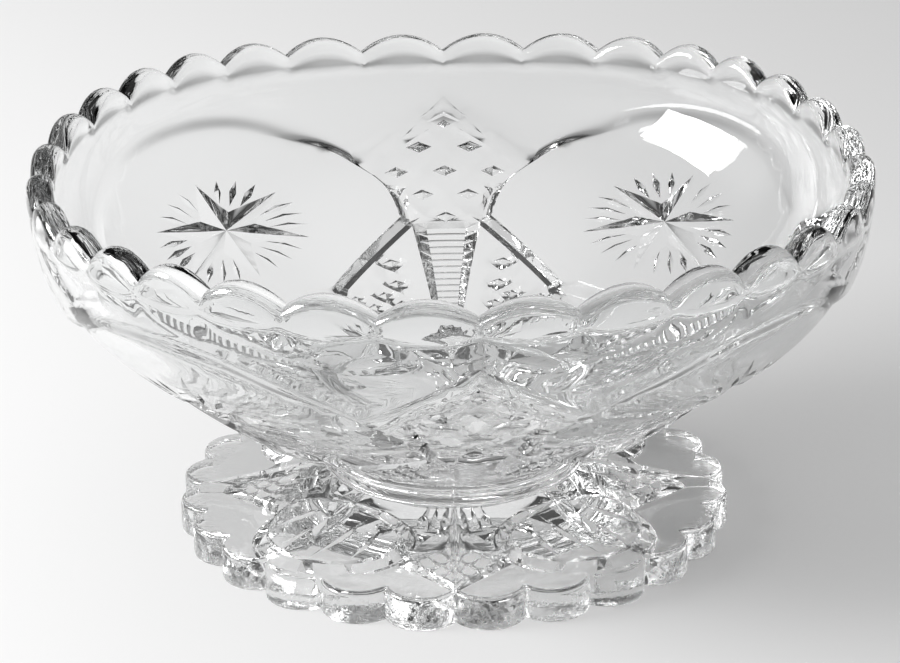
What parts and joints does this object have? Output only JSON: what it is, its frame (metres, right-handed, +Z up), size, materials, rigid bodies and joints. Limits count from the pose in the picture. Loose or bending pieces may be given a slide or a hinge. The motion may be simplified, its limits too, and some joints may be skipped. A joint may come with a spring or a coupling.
{
  "type": "footed dessert bowl",
  "caption": "Round pressed-glass dessert bowl with a scalloped rim and starred oval panels, on a short collar and a scalloped foot.",
  "frame": {"origin": "middle of the foot's underside, on the table", "axes": "+Z up along the bowl's axis, -Y towards the picture's viewer, +X to the viewer's right"},
  "size_m": [0.1976, 0.1976, 0.0938],
  "materials": {
    "clear_glass": "fire-polished clear pressed glass"
  },
  "bodies": {
    "root": {"bowl": "clear_glass", "joining_wafer": "clear_glass", "foot": "clear_glass"}
  },
  "joints": []
}
